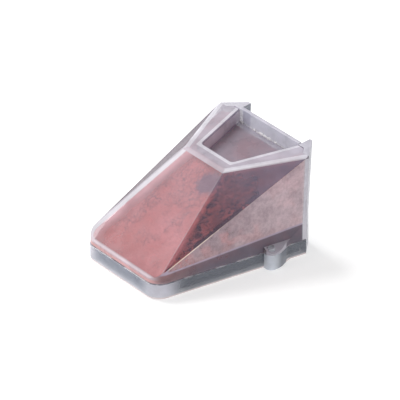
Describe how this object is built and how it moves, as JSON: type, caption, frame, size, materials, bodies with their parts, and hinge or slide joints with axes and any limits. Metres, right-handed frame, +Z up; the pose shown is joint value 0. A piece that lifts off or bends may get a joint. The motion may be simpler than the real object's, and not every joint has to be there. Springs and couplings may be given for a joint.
{
  "type": "powder chalk case",
  "caption": "Wedge-shaped translucent case of red powdered cue chalk, with a finger recess in its deck and a shallow clear tray that swings out sideways from under it.",
  "frame": {"origin": "on the resting plane, midway across the case and midway along it, under the tray", "axes": "+Y runs from the low nose to the tall back, +X is the case's right-hand side, where the pivot is, and +Z is up"},
  "size_m": [0.0421, 0.0559, 0.0321],
  "materials": {
    "frosted_plastic": "frosted, semi-gloss",
    "clear_plastic": "clear, semi-gloss",
    "film": "hazy",
    "chalk_powder": "dusty matte powder",
    "bonding": "satin",
    "pin_plastic": "semi-gloss"
  },
  "bodies": {
    "case": {"hopper_shell": "frosted_plastic", "rear_frame": "frosted_plastic", "base_film": "film", "chalk_charge": "chalk_powder", "weld_bead": "bonding", "pivot_pin": "pin_plastic"},
    "tray": {"swing_tray": "clear_plastic"}
  },
  "joints": [
    {"name": "tray_swing", "type": "hinge", "parent": "case", "child": "tray", "pos_m": [0.01977, 0.0097, 0], "axis": [0, 0, 1], "range_deg": [0, 110]}
  ]
}
